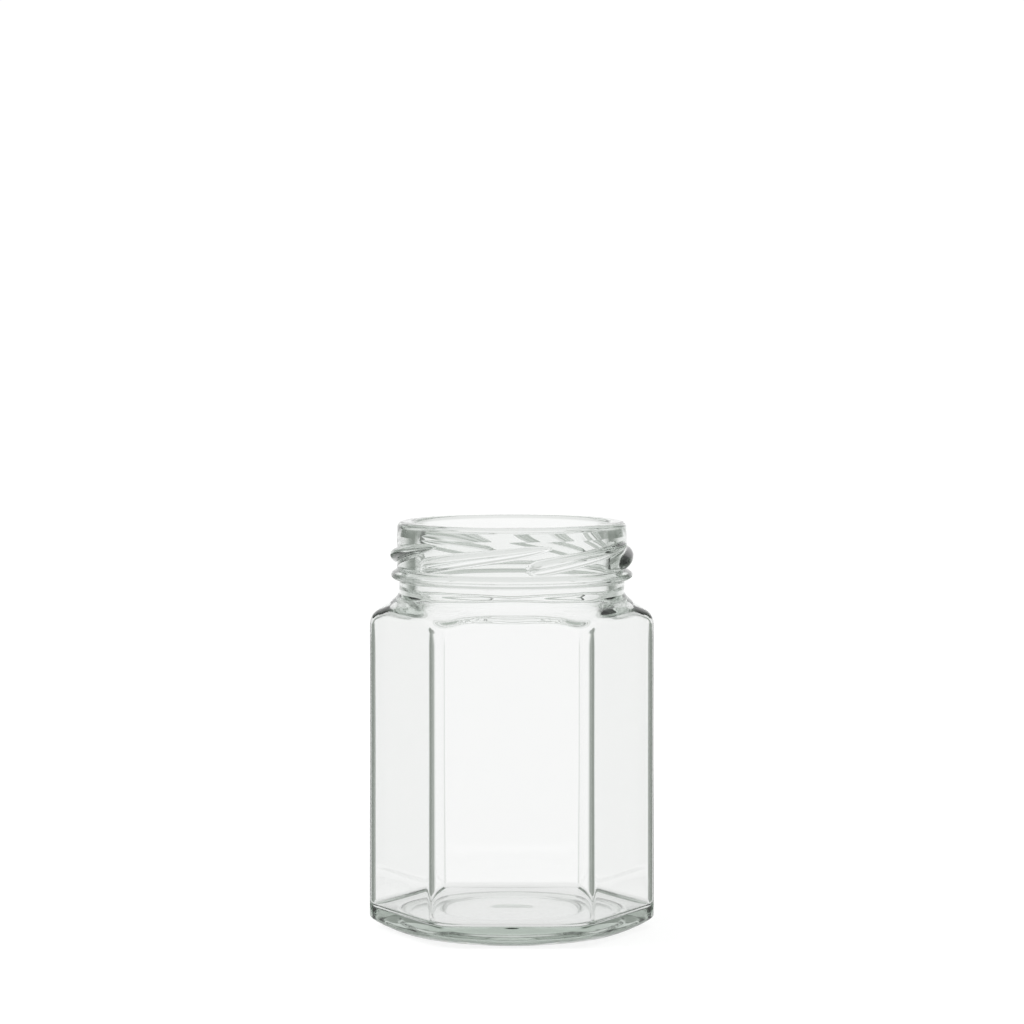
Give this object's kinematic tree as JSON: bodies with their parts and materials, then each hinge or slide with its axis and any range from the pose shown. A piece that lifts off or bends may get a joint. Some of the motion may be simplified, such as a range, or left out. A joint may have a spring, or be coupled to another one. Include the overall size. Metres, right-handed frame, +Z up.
{
  "type": "hexagonal glass jar",
  "caption": "Empty clear glass food jar with a hexagonal body, arched panel tops, a round heel and shoulder, and a round twist-off screw neck with a bead.",
  "frame": {"origin": "on the jar's vertical axis, on the plane that its bearing ring stands on", "axes": "+Z up along the jar's axis to the open mouth; two of the six flats face -Y (front) and +Y, and two of the six corners point along +X and -X"},
  "size_m": [0.0742, 0.0662, 0.1061],
  "materials": {
    "clear_glass": "smooth clear soda-lime glass"
  },
  "bodies": {
    "root": {"jar": "clear_glass"}
  },
  "joints": []
}
